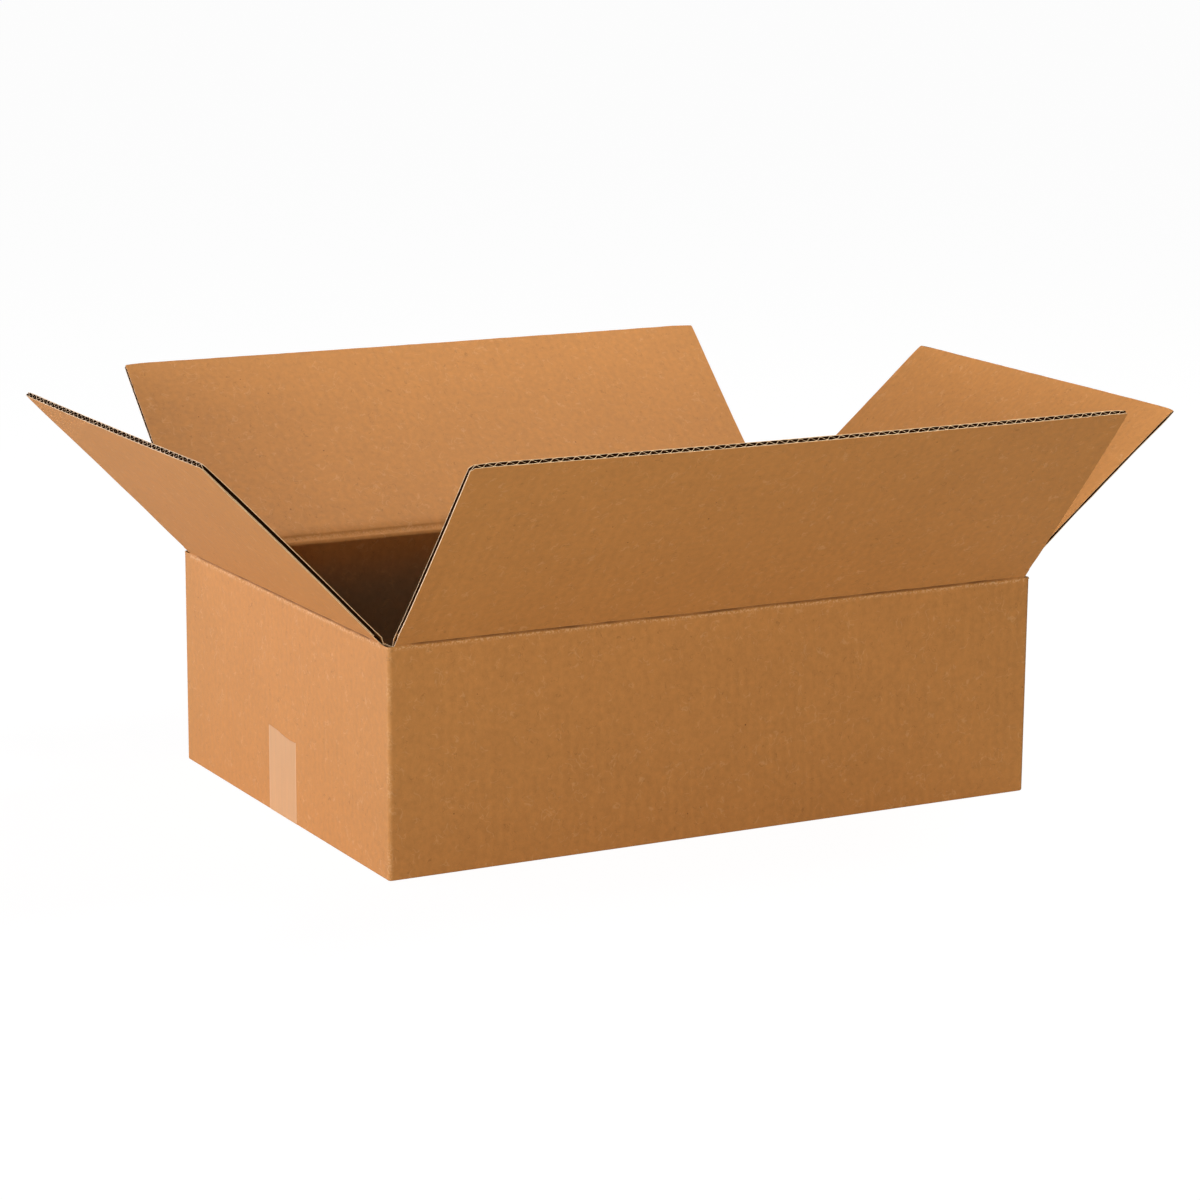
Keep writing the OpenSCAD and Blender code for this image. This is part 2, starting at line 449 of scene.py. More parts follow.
def ribbon(points, along, columns):
    # the line through the points, drawn out along a vector and cut into columns
    bm = bmesh.new()
    chain = [bm.verts.new(point) for point in points]
    edges = [bm.edges.new(pair) for pair in zip(chain, chain[1:])]
    grown = bmesh.ops.extrude_edge_only(bm, edges=edges)["geom"]
    ends = [item for item in grown if isinstance(item, bmesh.types.BMVert)]
    bmesh.ops.translate(bm, verts=ends, vec=along)
    crossing = []
    for edge in bm.edges:
        span = edge.verts[1].co - edge.verts[0].co
        if abs(span.dot(along)) > 0.5 * along.length_squared:
            crossing.append(edge)
    bmesh.ops.subdivide_edges(bm, edges=crossing, cuts=columns - 1, use_grid_fill=True)
    return bm


def placingOf(axes, place):
    placing = Matrix(axes).transposed().to_4x4()
    placing.translation = place
    return placing


def hingeOf(side):
    # the hinge, its direction, the way out of the wall, and the flap's lean from upright at rest
    joint = joints[side + "_crease"]
    along = Vector(joint["axis"])
    lean = math.radians(-joint["range_deg"][0] - 90)
    return Vector(joint["pos_m"]), along, along.cross(up), lean


flapShape = {
    "depth": 179.3 * mm,
    "start": 8.5 * mm,             # where the full board begins, above the crushed crease
    "looseSize": 120 * mm,
    "curlFrom": 16 * mm,           # from the ends of the long flaps
    "curlTo": 3 * mm,
    "edgeWearDepth": 3.5 * mm,
    "sideWearDepth": 2.5 * mm,
    "cornerWear": 0.2,
    "cornerWearDepth": 9 * mm,
    "mostWear": 0.8,
}

# half: half of the length at the crease, flare: what the free edge adds to it at each end
# reach and skew: what the depth gains all along, and what the high end gains over the middle
# shift: how far the board lies outside the line through the hinge
# tilt, twist, bow, sag and loose bend the board outwards, or inwards where they are negative: the
# long flaps bend outwards and the end flaps mostly inwards, so that they still fold over each other
# curl: how far both ends turn up, where a long flap lies on the folds of the end flaps
# clips: how much of both corners is cut off
# sideWear: how far the board is crushed at the low and high end along the crease
flaps = {
    "front": {
        "half": 253.1 * mm, "flare": 0.2 * mm, "reach": 0.0, "skew": 0.0, "shift": 0.85 * mm,
        "tilt": 0.0, "twist": 0.0, "bow": 1.4 * mm, "sag": 0.5 * mm, "loose": 0.25 * mm,
        "curl": 0.6 * mm, "clips": (2.6 * mm, 1.2 * mm), "edgeWear": 0.05,
        "sideWear": (0.1, 0.22), "seed": 1,
    },
    "back": {
        "half": 253.1 * mm, "flare": -0.4 * mm, "reach": 0.0, "skew": 0.0, "shift": 0.85 * mm,
        "tilt": 1.8 * mm, "twist": 1.8 * mm, "bow": 0.4 * mm, "sag": 0.6 * mm, "loose": 0.25 * mm,
        "curl": 0.6 * mm, "clips": (0.8 * mm, 0.8 * mm), "edgeWear": 0.12,
        "sideWear": (0.22, 0.22), "seed": 2,
    },
    "left": {
        "half": 169.5 * mm, "flare": 0.0, "reach": 1.2 * mm, "skew": 0.0, "shift": -0.85 * mm,
        "tilt": -1.1 * mm, "twist": 0.0, "bow": 0.5 * mm, "sag": -0.5 * mm, "loose": -0.25 * mm,
        "curl": 0.0, "clips": (1.0 * mm, 2.0 * mm), "edgeWear": 0.06,
        "sideWear": (0.2, 0.08), "seed": 3,
    },
    "right": {
        "half": 169.5 * mm, "flare": 0.0, "reach": -1.5 * mm, "skew": 1.5 * mm, "shift": -0.85 * mm,
        "tilt": -2.3 * mm, "twist": -2.2 * mm, "bow": -0.2 * mm, "sag": -0.2 * mm,
        "loose": -0.25 * mm, "curl": 0.0, "clips": (0.8 * mm, 0.8 * mm), "edgeWear": 0.14,
        "sideWear": (0.95, 0.3), "seed": 4,
    },
}


def flatSheet(half, low, high, columns, rows, clips):
    bm = bmesh.new()
    bmesh.ops.create_grid(bm, x_segments=columns, y_segments=rows, size=1)
    for vert in bm.verts:
        t = (vert.co.y + 1) / 2
        vert.co.y = low + (high - low) * (1 - (1 - t) ** board["rowCrowding"])
        vert.co.x *= half
    for side, clip in zip((-1, 1), clips):
        bmesh.ops.bisect_plane(bm, geom=bm.verts[:] + bm.edges[:] + bm.faces[:],
                               plane_co=(side * half, high - clip, 0), plane_no=(side, 1, 0),
                               clear_outer=True)
    return bm


def crush(x, y, half, high, edgeWear, sideWear, seed):
    # share of the full thickness that is left: less near the free edge and the corners
    fromEnd = high - y
    fromSide = half - abs(x)
    ripple = 0.5 + 0.5 * wander(x, 0, 22 * mm, seed) + 0.25 * wander(x, 0, 7 * mm, seed + 3)
    sideRipple = 0.6 + 0.5 * wander(0, y, 30 * mm, seed + 5)
    worn = edgeWear * ripple * fadeOut(fromEnd, flapShape["edgeWearDepth"])
    worn += sideWear[0 if x < 0 else 1] * sideRipple * fadeOut(fromSide, flapShape["sideWearDepth"])
    worn += flapShape["cornerWear"] * fadeOut(fromEnd + fromSide, flapShape["cornerWearDepth"])
    return 1 - min(max(worn, 0), flapShape["mostWear"])


def warp(x, y, half, settings):
    # lasting bend of the flap, flat where it leaves the crease
    reach = max(y - flapShape["start"], 0) / (flapShape["depth"] - flapShape["start"])
    drift = 1 + wander(x, y, flapShape["looseSize"], settings["seed"] + 11)
    nearEnd = 1 - smoothStep(flapShape["curlTo"], flapShape["curlFrom"], half - abs(x))
    bent = settings["bow"] * reach * reach * (1 - (x / half) ** 2)
    bent += settings["tilt"] * reach + settings["twist"] * reach * reach * (x / half)
    bent += settings["sag"] * math.sin(math.pi * reach) * smoothStep(0, 0.3, reach)
    bent += settings["loose"] * reach * drift
    bent += settings["curl"] * smoothStep(0, 0.1, reach) * nearEnd
    return bent


def facingLayer(half, low, high, clips, level):
    columns = round(2 * half / board["facingColumn"])
    bm = flatSheet(half, low, high, columns, board["facingRows"], clips)
    thicken(bm, board["liner"])
    bm.normal_update()
    # faces towards the flutes take the painted flute shade
    for face in bm.faces:
        towardsFlutes = -level * face.normal.z
        if abs(towardsFlutes) < 0.5:
            face.material_index = slots["cutEdge"]
        elif towardsFlutes > 0:
            face.material_index = slots["flutes"]
    return bm


def fluteLayer(half, low, high, clips):
    crest = board["thickness"] / 2 - board["liner"] - board["medium"] / 2
    columns = round(2 * half / board["flutePitch"] * board["pointsPerFlute"])
    bm = flatSheet(half, low, high, columns, board["fluteRows"], clips)
    for vert in bm.verts:
        vert.co.z = crest * math.cos(2 * math.pi * (vert.co.x + half) / board["flutePitch"])
    thicken(bm, board["medium"])
    bm.normal_update()
    # the fluted sheet takes the painted flute shade, apart from its cut ends
    for face in bm.faces:
        atSide = all(half - abs(vert.co.x) < 0.05 * mm for vert in face.verts)
        atEnd = abs(face.normal.y) > 0.3
        face.material_index = slots["cutEdge"] if atEnd or atSide else slots["flutes"]
    return bm


def layeredBoard(half, low, high, clips, edgeWear, sideWear, seed):
    # two facings with the fluted sheet between them, lying flat with the flutes along Y
    whole = bmesh.new()
    middle = board["thickness"] / 2 - board["liner"] / 2
    for level in (1, -1, 0):
        if level:
            bm = facingLayer(half, low, high, clips, level)
        else:
            bm = fluteLayer(half, low, high, clips)
        heights = [vert.co.z for vert in bm.verts]
        rise = level * middle - (min(heights) + max(heights)) / 2
        bmesh.ops.translate(bm, verts=bm.verts, vec=(0, 0, rise))
        addToMesh(whole, bm)
    for vert in whole.verts:
        x, y, z = vert.co
        ragged = board["ragged"] * wander(x, z * 40, 6 * mm, seed + 17)
        vert.co.y = y + ragged * fadeOut(high - y, 1.5 * mm)
        vert.co.z = z * crush(x, y, half, high, edgeWear, sideWear, seed)
    return whole


def makeFlap(side):
    settings = flaps[side]
    half = settings["half"]
    start = flapShape["start"]
    depth = flapShape["depth"] + settings["reach"]
    whole = layeredBoard(half, start, depth, settings["clips"], settings["edgeWear"],
                         settings["sideWear"], settings["seed"])
    for vert in whole.verts:
        vert.co.z += settings["shift"] + warp(vert.co.x, vert.co.y, half, settings)
        climbed = (vert.co.y - start) / (depth - start)
        vert.co.y += settings["skew"] * climbed * vert.co.x / half
        vert.co.x *= 1 + settings["flare"] * climbed / half
    # the board's X runs along the crease, Y up the flap and Z out of its outer face
    hinge, along, out, lean = hingeOf(side)
    climb = up * math.cos(lean) + out * math.sin(lean)
    face = out * math.cos(lean) - up * math.sin(lean)
    bmesh.ops.transform(whole, matrix=placingOf((along, climb, face), hinge), verts=whole.verts)
    facing = kraftLong if side in ("front", "back") else kraftEnd
    piece = finishMesh(side + "FlapBoard", whole, [facing, cutEdge, paintedFluteShade])
    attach(piece, side + "_flap")
    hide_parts(side + "_flap")


for side in flaps:
    makeFlap(side)
print("flaps made")


crease = {
    "wallStart": 6.0 * mm,         # below the hinge line
    "columnLength": 2.5 * mm,
    "outerSteps": [0.25 * mm, 0.5 * mm, 0.8 * mm, 1.1 * mm, 1.5 * mm, 2.0 * mm, 2.6 * mm],
    "turnWithin": 0.6 * mm,
    "innerReach": 3.2 * mm,
    "innerGroove": 2.2 * mm,
    "innerRub": 0.4,
    "innerRubWidth": 2.0 * mm,
    "arcPoints": 8,
    "grooveDepth": 0.95 * mm,
    "grooveWidth": 0.75 * mm,
    "fadeFrom": 22 * mm,           # the groove is shallow near the ends of the crease
    "fadeTo": 8 * mm,
    "bulge": 0.16 * mm,
    "bulgeAway": 1.4 * mm,
    "bulgeWidth": 0.7 * mm,
    "flapBulge": 0.2,              # flatter on the flap, where a long flap lies on an end one
    "rubAway": 1.9 * mm,
    "rubWidth": 1.2 * mm,
}


def foldOf(lean, shift, outside):
    # for the outer facing (1) or the inner one (-1): where it folds, the directions up the flap and
    # out of it, and how far the facing reaches down the wall and up the flap
    half = board["thickness"] / 2
    climb = Vector((math.sin(lean), math.cos(lean)))
    face = Vector((math.cos(lean), -math.sin(lean)))
    height = half + outside * shift
    foldReach = outside * (half - math.cos(lean) * height) / math.sin(lean)
    fold = climb * foldReach + face * outside * height
    return fold, climb, face, crease["wallStart"] + fold.y, flapShape["start"] - foldReach


def outerProfile(lean, shift):
    # (point out and up, normal, distance from the fold) from the wall to the flap
    fold, climb, face, wallLength, flapLength = foldOf(lean, shift, 1)
    steps = [-wallLength, -0.7 * wallLength]
    steps += [-step for step in reversed(crease["outerSteps"])]
    steps += [0] + crease["outerSteps"]
    steps += [0.7 * flapLength, flapLength]
    points = []
    for step in steps:
        turn = smoothStep(-crease["turnWithin"], crease["turnWithin"], step)
        normal = Vector((1, 0)).lerp(face, turn).normalized()
        direction = Vector((0, 1)) if step < 0 else climb
        points.append((fold + direction * step, normal, step))
    return points


def innerProfile(lean, shift):
    fold, climb, face, wallLength, flapLength = foldOf(lean, shift, -1)
    reach = crease["innerReach"]
    low = fold - Vector((0, 1)) * reach
    high = fold + climb * reach
    middle = fold + (Vector((1, 0)) + face).normalized() * crease["innerGroove"]
    points = [(fold - Vector((0, 1)) * wallLength, Vector((-1, 0)), -wallLength)]
    for i in range(crease["arcPoints"] + 1):
        t = i / crease["arcPoints"]
        point = low * (1 - t) ** 2 + middle * 2 * t * (1 - t) + high * t * t
        normal = -Vector((1, 0)).lerp(face, t).normalized()
        points.append((point, normal, (t - 0.5) * 2 * reach))
    points.append((fold + climb * flapLength, -face, flapLength))
    return points


def middleProfile(lean, shift):
    # the crushed fluted sheet runs midway between the two facings
    outer = outerProfile(lean, shift)
    inner = innerProfile(lean, shift)
    points = []
    for i in range(crease["arcPoints"] + 1):
        t = i / crease["arcPoints"]
        first = outer[round(t * (len(outer) - 1))]
        second = inner[round(t * (len(inner) - 1))]
        points.append(((first[0] + second[0]) / 2, first[1], first[2]))
    return points


def creaseOffset(x, step, half, seed):
    # how far the outer facing stands out or sinks in, how much painted shade darkens it in the groove,
    # and how rubbed it is
    drift = 0.4 * mm * wander(x, 0, 35 * mm, seed + 23) + 0.18 * mm * wander(x, 0, 9 * mm, seed + 29)
    depth = 1 + 0.5 * wander(x, 0, 14 * mm, seed + 31)
    depth *= 1 - 0.8 * smoothStep(half - crease["fadeFrom"], half - crease["fadeTo"], abs(x))
    away = step - drift
    groove = depth * hump(away, crease["grooveWidth"])
    rise = crease["bulge"] * hump(abs(away) - crease["bulgeAway"], crease["bulgeWidth"])
    rise *= 1 + 0.8 * wander(x, 0, 8 * mm, seed + 37)
    if step > 0:
        rise *= crease["flapBulge"]
    # painted shade, as deep as the groove
    shade = groove * (0.8 + 0.4 * wander(x, 0, 20 * mm, seed + 43))
    rub = hump(away + crease["rubAway"], crease["rubWidth"])
    return rise - crease["grooveDepth"] * groove, shade, rub


def creaseLayer(profile, kind, half, seed):
    columns = round(2 * half / crease["columnLength"])
    chain = [(-half, point.x, point.y) for point, normal, step in profile]
    bm = ribbon(chain, Vector((2 * half, 0, 0)), columns)
    rubLayer = bm.verts.layers.float.new("rub")
    shadeLayer = bm.verts.layers.float.new("shade")
    lastPoint = len(profile) - 1
    for vert in bm.verts:
        nearest = min(range(len(profile)), key=lambda i: (profile[i][0] - vert.co.yz).length_squared)
        normal, step = profile[nearest][1:]
        if kind == "outer":
            offset, shade, rub = creaseOffset(vert.co.x, step, half, seed)
            vert[shadeLayer] = min(max(shade, 0), 1)
            vert[rubLayer] = rub
            if 0 < nearest < lastPoint:
                vert.co += Vector((0, normal.x, normal.y)) * offset
        elif kind == "inner":
            vert[rubLayer] = crease["innerRub"] * hump(step, crease["innerRubWidth"])
    bmesh.ops.recalc_face_normals(bm, faces=bm.faces[:])
    outward = sum(face.normal.y for face in bm.faces)
    if (outward < 0) == (kind != "inner"):
        bmesh.ops.reverse_faces(bm, faces=bm.faces[:])
    thicken(bm, board["liner"])
    for face in bm.faces:
        atSide = all(half - abs(vert.co.x) < 0.01 * mm for vert in face.verts)
        # the crushed fluted sheet takes the painted flute shade
        if kind == "middle":
            face.material_index = slots["flutes"]
        elif atSide:
            face.material_index = slots["cutEdge"]
    return bm


def makeCrease(side):
    settings = flaps[side]
    hinge, along, out, lean = hingeOf(side)
    shift = settings["shift"]
    profiles = {
        "outer": outerProfile(lean, shift),
        "inner": innerProfile(lean, shift),
        "middle": middleProfile(lean, shift),
    }
    whole = bmesh.new()
    whole.verts.layers.float.new("rub")
    whole.verts.layers.float.new("shade")
    for kind, profile in profiles.items():
        addToMesh(whole, creaseLayer(profile, kind, settings["half"], settings["seed"]))
    bmesh.ops.transform(whole, matrix=placingOf((along, out, up), hinge), verts=whole.verts)
    bmesh.ops.recalc_face_normals(whole, faces=whole.faces[:])
    facing = kraftLongCrease if side in ("front", "back") else kraftEndCrease
    piece = finishMesh(side + "CreaseSkin", whole, [facing, cutEdge, paintedFluteShade], 40)
    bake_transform(piece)


for side in flaps:
    makeCrease(side)
print("creases made")


bodyShape = {
    "bottom": 0.12 * mm,
    "slotLevel": 161.3 * mm,       # bottom of the slots between neighbouring flaps
    "slotRecess": 1.2 * mm,
    "uprightFold": 3.0 * mm,
    "bottomFold": 1.4 * mm,
    "seam": 1.0 * mm,
    "endFlapDepth": 177.3 * mm,    # end bottom flaps, from the wall to their free edge
    "endFlapLevel": 6.42 * mm,
    "endFlapClips": (4 * mm, 4 * mm),
    "lapHalf": 17.5 * mm,
    "lapBottom": 8.8 * mm,
    "lapClips": (9 * mm, 1 * mm),
    "hiddenWear": 0.1,
}


def wallTops():
    return [joints[side + "_crease"]["pos_m"][2] - crease["wallStart"] for side in ("front", "left")]


def openBox():
    # the outer faces, with the walls cut down to where the crease skins begin and a seam below
    bottom = bodyShape["bottom"]
    top = bodyShape["slotLevel"]
    seam = bodyShape["seam"] / 2
    seamEnd = bodyHigh.x - board["thickness"]
    longTop, endTop = wallTops()
    flapX = flaps["front"]["half"]
    flapY = flaps["left"]["half"]
    bm = bmesh.new()
    bmesh.ops.create_cube(bm, size=1)
    bmesh.ops.scale(bm, verts=bm.verts, vec=(2 * bodyHigh.x, 2 * bodyHigh.y, top - bottom))
    bmesh.ops.translate(bm, verts=bm.verts, vec=(0, 0, (top + bottom) / 2))
    lid = max(bm.faces, key=lambda face: face.calc_center_median().z)
    bmesh.ops.delete(bm, geom=[lid], context="FACES_ONLY")
    cuts = [((0, 0, longTop), (0, 0, 1)), ((0, 0, endTop), (0, 0, 1))]
    for side in (-1, 1):
        cuts.append(((side * flapX, 0, 0), (1, 0, 0)))
        cuts.append(((0, side * flapY, 0), (0, 1, 0)))
        cuts.append(((0, side * seam, 0), (0, 1, 0)))
        cuts.append(((side * seamEnd, 0, 0), (1, 0, 0)))
    for place, normal in cuts:
        bmesh.ops.bisect_plane(bm, geom=bm.verts[:] + bm.edges[:] + bm.faces[:],
                               plane_co=place, plane_no=normal)
    gone = []
    for face in bm.faces:
        x, y, z = face.calc_center_median()
        onLong = bodyHigh.y - abs(y) < 1 * mm and abs(x) < flapX and z > longTop
        onEnd = bodyHigh.x - abs(x) < 1 * mm and abs(y) < flapY and z > endTop
        inSeam = z < 1 * mm and abs(y) < seam and abs(x) < seamEnd
        if onLong or onEnd or inSeam:
            gone.append(face)
    bmesh.ops.delete(bm, geom=gone, context="FACES")
    return bm


def markFaces(bm):
    # the painted shade tint inside, the crushed board under the creases in painted flute shade, and the
    # layers that the slots lay open, with painted flute shade in their recesses
    within = 0.9 * board["thickness"]
    highest = bodyShape["slotLevel"] - 0.1 * mm
    lowestRim = 150 * mm
    rims = []
    for face in bm.faces:
        centre = face.calc_center_median()
        inX = bodyHigh.x - abs(centre.x) > within
        inY = bodyHigh.y - abs(centre.y) > within
        if inX and inY and centre.z > within:
            face.material_index = slots["inside"]
        if face.normal.z > 0.9 and centre.z > lowestRim:
            face.material_index = slots["flutes"]
            if centre.z > highest:
                face.material_index = slots["cutEdge"]
                rims.append(face)
    bmesh.ops.inset_region(bm, faces=rims, thickness=board["liner"],
                           depth=-bodyShape["slotRecess"], use_even_offset=True)
    for face in rims:
        face.material_index = slots["flutes"]


def roundFolds(bm):
    upright = []
    for edge in bm.edges:
        ends = [vert.co for vert in edge.verts]
        atX = all(bodyHigh.x - abs(end.x) < 0.01 * mm for end in ends)
        atY = all(bodyHigh.y - abs(end.y) < 0.01 * mm for end in ends)
        if atX and atY:
            upright.append(edge)
    bmesh.ops.bevel(bm, geom=upright, offset=bodyShape["uprightFold"], offset_type="OFFSET",
                    segments=6, profile=0.5, affect="EDGES", material=-1, clamp_overlap=True)
    underneath = []
    for edge in bm.edges:
        ends = [vert.co for vert in edge.verts]
        low = all(end.z - bodyShape["bottom"] < 0.01 * mm for end in ends)
        atRim = all(bodyHigh.x - abs(end.x) < 4 * mm or bodyHigh.y - abs(end.y) < 4 * mm
                    for end in ends)
        joinsWall = any(face.normal.z > -0.5 for face in edge.link_faces)
        joinsFloor = any(face.normal.z < -0.9 for face in edge.link_faces)
        if low and atRim and joinsWall and joinsFloor:
            underneath.append(edge)
    bmesh.ops.bevel(bm, geom=underneath, offset=bodyShape["bottomFold"], offset_type="OFFSET",
                    segments=4, profile=0.5, affect="EDGES", material=-1, clamp_overlap=True)


def addInside(whole, half, low, high, clips, seed, axes, place):
    wear = bodyShape["hiddenWear"]
    sheet = layeredBoard(half, low, high, clips, wear, (wear, wear), seed)
    # the inner floor boards take the painted shade tint of the inside
    for face in sheet.faces:
        if face.material_index == slots["facing"]:
            face.material_index = slots["inside"]
    bmesh.ops.transform(sheet, matrix=placingOf(axes, place), verts=sheet.verts)
    addToMesh(whole, sheet)


def makeBody():
    bm = openBox()
    turnDown(bm)
    thicken(bm, board["thickness"])
    bm.normal_update()
    markFaces(bm)
    roundFolds(bm)
    # end bottom flaps lie on the long ones, and the glue lap stands inside one corner
    insideX = bodyHigh.x - board["thickness"]
    for side in (-1, 1):
        addInside(bm, flaps["left"]["half"], 0, bodyShape["endFlapDepth"], bodyShape["endFlapClips"],
                  50 + side, ((0, side, 0), (-side, 0, 0), (0, 0, 1)),
                  (side * insideX, 0, bodyShape["endFlapLevel"]))
    lapY = bodyHigh.y - 1.5 * board["thickness"]
    addInside(bm, bodyShape["lapHalf"], bodyShape["lapBottom"], bodyShape["slotLevel"],
              bodyShape["lapClips"], 57, ((1, 0, 0), (0, 0, 1), (0, -1, 0)),
              (insideX - bodyShape["lapHalf"], lapY, 0))
    piece = finishMesh("cartonShell", bm, [kraftBody, cutEdge, paintedFluteShade, kraftInsideShade], 30)
    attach(piece, "carton")
    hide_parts("carton_body")
    return piece


shell = makeBody()
print("body made")


tape = {
    "half": 24.0 * mm,
    "thickness": 0.12 * mm,
    "clear": 0.02 * mm,            # off the wall
    "foldHeight": 1.5 * mm,
    "leg": 63.0 * mm,
    "aside": -2.5 * mm,            # off the middle of the seam
    "columns": 96,
    "legRows": 16,
    "underRows": 12,
    "cutSkew": 3.0 * mm,
    "toothHeight": 0.12 * mm,
    "toothLength": 0.45 * mm,
    "cutWander": 0.25 * mm,
    "highlightFrom": 1.4 * mm,          # painted highlight: a pale rim along both sides, where the tape's edges catch the light
    "highlightTo": 0.4 * mm,
    "highlightAmount": 0.35,
    "colour": (0.60, 0.32, 0.126, 1),
    "highlightColour": (0.86, 0.58, 0.32, 1),
    "baseTone": 0.79,
    "streakTone": 0.26,
    "fineTone": 0.1,
    "blotchTone": 0.05,
    "roughness": 0.34,
    "streakRoughness": 0.16,
}


def tapeMaterial():
    material, tree, shader = newMaterial("sealingTape")
    place = objectPlace(tree)
    streak = noiseValue(tree, vectorCalc(tree, "MULTIPLY", place, (60, 420, 14)), 1.0, 3.0, 0.55)
    fine = noiseValue(tree, vectorCalc(tree, "MULTIPLY", place, (200, 1500, 60)), 1.0)
    blotch = noiseValue(tree, place, 160.0)
    tone = weighted(tree, tape["baseTone"], [
        (streak, tape["streakTone"]), (fine, tape["fineTone"]), (blotch, tape["blotchTone"])])
    colour = mixColour(tree, 1.0, tape["colour"], grey(tree, tone), "MULTIPLY")
    # painted highlight along the tape's edges
    edgeHighlight = calc(tree, "MULTIPLY", attribute(tree, "edge"), tape["highlightAmount"])
    tree.links.new(mixColour(tree, edgeHighlight, colour, tape["highlightColour"]), shader.inputs["Base Color"])
    rough = weighted(tree, tape["roughness"], [(streak, tape["streakRoughness"])])
    tree.links.new(rough, shader.inputs["Roughness"])
    addBump(tree, shader, weighted(tree, 0.0, [(streak, 0.5), (blotch, 0.5)]), 0.2 * mm, 0.6)
    return material


def tapeCut(across, end):
    # how far below the full leg the cut edge lies; the blade skews it and leaves small teeth
    t = (1 - across / tape["half"]) / 2
    drop = tape["cutSkew"] * smoothStep(0.08, 0.8, t if end < 0 else 1 - t)
    teeth = tape["toothHeight"] * math.sin(across / tape["toothLength"])
    return drop + teeth + tape["cutWander"] * wander(across, 0, 6 * mm, 41 + end)


def tapePath():
    # (x, z) down the left wall, round the fold, under the seam and up the right wall
    wall = bodyHigh.x + tape["clear"]
    leg = tape["leg"]
    fold = tape["foldHeight"]
    under = tape["thickness"]
    legRows = tape["legRows"]
    underRows = tape["underRows"]
    path = [(-wall, leg - (leg - fold) * i / legRows) for i in range(legRows + 1)]
    for angle in (22.5, 45, 67.5, 90):
        turn = math.radians(angle)
        path.append((-wall + fold * (1 - math.cos(turn)), fold - (fold - under) * math.sin(turn)))
    path += [(-(wall - fold) * (1 - i / underRows), under) for i in range(1, underRows + 1)]
    return path + [(-x, z) for x, z in reversed(path[:-1])]


def makeTape():
    half = tape["half"]
    fold = tape["foldHeight"]
    chain = [(x, -half, z) for x, z in tapePath()]
    bm = ribbon(chain, Vector((0, 2 * half, 0)), tape["columns"])
    # the edge attribute marks where the painted edge highlight goes
    highlightLayer = bm.verts.layers.float.new("edge")
    for vert in bm.verts:
        vert[highlightLayer] = smoothStep(half - tape["highlightFrom"], half - tape["highlightTo"], abs(vert.co.y))
        if vert.co.z > fold:
            side = 1 if vert.co.x > 0 else -1
            share = (vert.co.z - fold) / (tape["leg"] - fold)
            vert.co.z -= share ** 3 * tapeCut(vert.co.y, side)
    turnDown(bm)
    thicken(bm, -tape["thickness"])
    bmesh.ops.translate(bm, verts=bm.verts, vec=(0, tape["aside"], 0))
    piece = finishMesh("sealingTapeStrip", bm, [tapeMaterial()], 50)
    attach(piece, "carton")
    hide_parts("sealing_tape")
    return piece


strip = makeTape()
print("tape made")


studio = {
    "floorSize": 60.0,
    "floorBounce": 0.94,           # how pale the floor is for the light that it throws back
    "floorShade": 0.11,            # how much of the light and shadow on it shows
    "floorGlow": 0.965,
    "world": 0.095,
    "aim": (0, 0, 0.1),            # where all the panels point
}


def makeFloor():
    bm = bmesh.new()
    bmesh.ops.create_grid(bm, x_segments=1, y_segments=1, size=studio["floorSize"])
    material, tree, shader = newMaterial("paleFloor")
    shader.inputs["Roughness"].default_value = 1.0
    shader.inputs["Specular IOR Level"].default_value = 0.0
    shader.inputs["Emission Color"].default_value = (1, 1, 1, 1)
    seen = addNode(tree, "ShaderNodeLightPath").outputs["Is Camera Ray"]
    pale = remap(tree, seen, 0.0, 1.0, studio["floorBounce"], studio["floorShade"])
    tree.links.new(grey(tree, pale), shader.inputs["Base Color"])
    glow = calc(tree, "MULTIPLY", seen, studio["floorGlow"])
    tree.links.new(glow, shader.inputs["Emission Strength"])
    piece = finishMesh("floor", bm, [material])
    return piece


def makeWorld():
    world = bpy.data.worlds.new("studioWorld")
    bpy.context.scene.world = world
    world.use_nodes = True
    tree = world.node_tree
    backdrop = tree.nodes["Background"]
    backdrop.inputs["Color"].default_value = (1, 1, 1, 1)
    seen = addNode(tree, "ShaderNodeLightPath").outputs["Is Camera Ray"]
    tree.links.new(remap(tree, seen, 0.0, 1.0, studio["world"], 1.0), backdrop.inputs["Strength"])


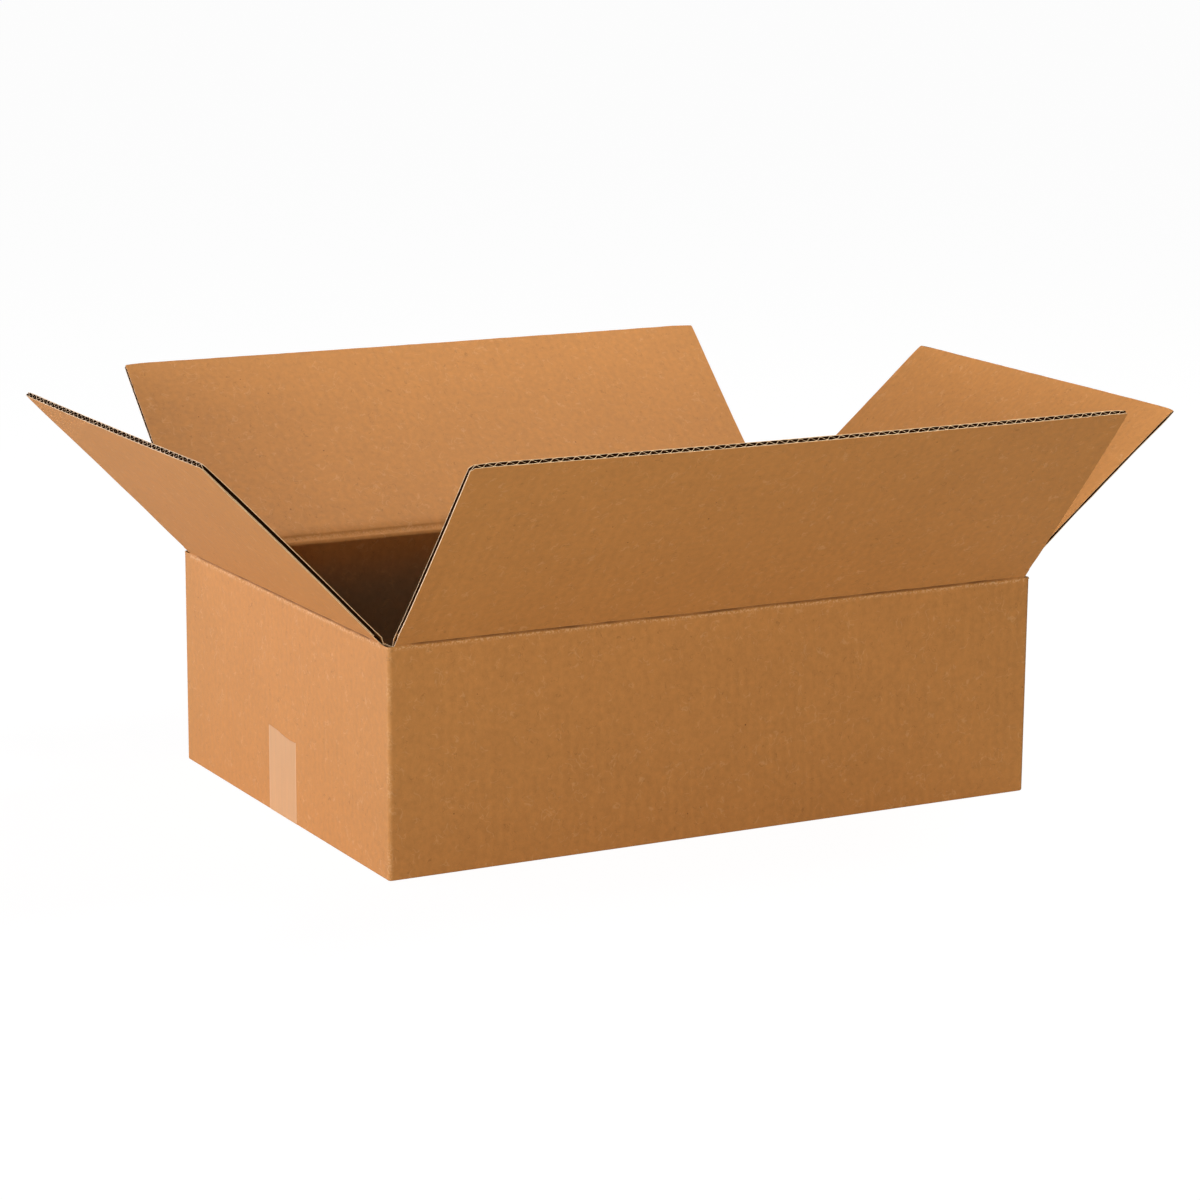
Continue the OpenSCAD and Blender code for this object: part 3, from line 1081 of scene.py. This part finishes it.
def addPanel(name, place, size, power, colour=white, spares=()):
    lamp = bpy.data.lights.new(name, "AREA")
    lamp.shape = "RECTANGLE"
    lamp.size = size[0]
    lamp.size_y = size[1]
    lamp.energy = power
    lamp.color = colour
    panel = bpy.data.objects.new(name, lamp)
    panel.location = place
    ahead = Vector(studio["aim"]) - Vector(place)
    panel.rotation_euler = ahead.to_track_quat("-Z", "Y").to_euler()
    panel.visible_camera = False
    bpy.context.scene.collection.objects.link(panel)
    if spares:
        # these pieces are flagged off from this light
        unlit = bpy.data.collections.new(name + "Flags")
        for piece in spares:
            unlit.objects.link(piece)
        for entry in unlit.collection_objects:
            entry.light_linking.link_state = "EXCLUDE"
        panel.light_linking.receiver_collection = unlit


floor = makeFloor()
makeWorld()
bpy.context.scene.view_settings.view_transform = "Standard"
addPanel("keyPanel", (-2.8, 0.9, 0.22), (2.6, 0.42), 57, colour=(1, 1.08, 1.45))
addPanel("frontPanel", (-2.2, -3.2, 0.4), (2.2, 0.7), 82)
addPanel("topPanel", (1.2, 0.0, 2.2), (1.1, 1.1), 24, colour=(1, 0.98, 0.9), spares=[shell, strip])
addPanel("flapPanel", (0.3, -0.2, 1.5), (0.8, 0.8), 11.3, colour=(1, 1, 1.12),
         spares=[shell, strip, floor])
addPanel("farPanel", (-2.0, 2.2, 1.3), (1.6, 1.0), 14, colour=(1, 1.07, 1.5), spares=[floor])
addPanel("backPanel", (2.4, 2.6, 0.7), (2.0, 0.8), 15, spares=[floor])

view = {
    "place": (-1.1929, -2.2073, 0.6739),
    "yaw": 28.376,
    "pitch": 12.148,
    "roll": 0.432,
    "lens": 103.72,
    "sensor": 36,
}


def makeCamera():
    yaw = math.radians(view["yaw"])
    pitch = math.radians(view["pitch"])
    roll = math.radians(view["roll"])
    ahead = Vector((math.sin(yaw) * math.cos(pitch), math.cos(yaw) * math.cos(pitch), -math.sin(pitch)))
    level = ahead.cross(up).normalized()
    above = level.cross(ahead)
    right = level * math.cos(roll) + above * math.sin(roll)
    top = above * math.cos(roll) - level * math.sin(roll)
    lens = bpy.data.cameras.new("camera")
    lens.lens = view["lens"]
    lens.sensor_width = view["sensor"]
    lens.clip_start = 0.05
    lens.clip_end = 60
    camera = bpy.data.objects.new("camera", lens)
    camera.matrix_world = placingOf((right, top, -ahead), view["place"])
    bpy.context.scene.collection.objects.link(camera)
    bpy.context.scene.camera = camera


makeCamera()
print("studio made")
